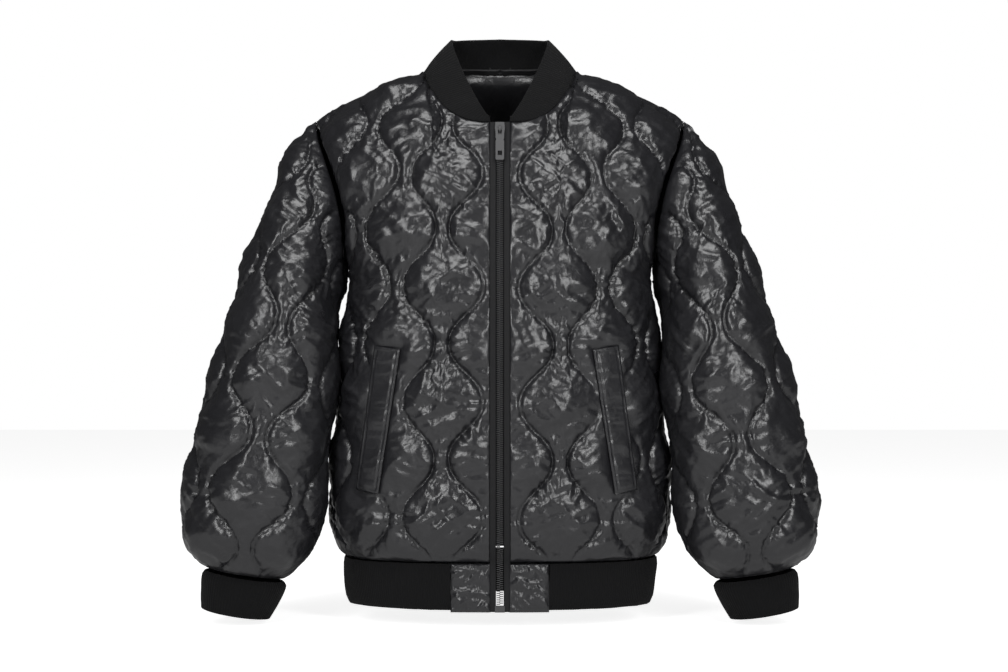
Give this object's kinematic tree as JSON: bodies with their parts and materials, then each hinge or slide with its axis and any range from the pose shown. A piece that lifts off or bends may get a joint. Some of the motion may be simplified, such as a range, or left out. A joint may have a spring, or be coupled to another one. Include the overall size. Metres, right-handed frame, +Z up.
{
  "type": "quilted jacket",
  "caption": "Quilted zip-front blouson jacket with rib collar, cuffs and hem band, slanted welt pockets and a swinging zip pull, filled out as it is worn",
  "frame": {"origin": "middle of the neck base, level with the two points where the shoulder seams meet the collar", "axes": "+Z up, the front faces -Y, +X is the wearer's left"},
  "size_m": [0.788, 0.2783, 0.7265],
  "materials": {
    "nylon": "glossy black quilted nylon",
    "rib": "matt black rib knit",
    "lining": "smooth black satin lining",
    "tape": "woven black tape",
    "metal": "black enamelled zip metal"
  },
  "bodies": {
    "root": {"front_right": "nylon", "front_left": "nylon", "back": "nylon", "sleeve_right": "nylon", "sleeve_left": "nylon", "cuff_right": "rib", "cuff_left": "rib", "collar": "rib", "hem_rib": "rib", "hem_tab_right": "nylon", "hem_tab_left": "nylon", "pocket_welt_right": "nylon", "pocket_welt_left": "nylon", "back_lining": "lining", "hanger_loop": "tape", "zip_tape_right": "tape", "zip_tape_left": "tape", "zip_teeth": "metal", "zip_box": "metal", "zip_slider": "metal"},
    "pull": {"zip_pull": "metal"}
  },
  "joints": [
    {"name": "pull_swing", "type": "hinge", "parent": "root", "child": "pull", "pos_m": [0, -0.09417, -0.08125], "axis": [-1, 0, 0], "range_deg": [0, 150]}
  ]
}
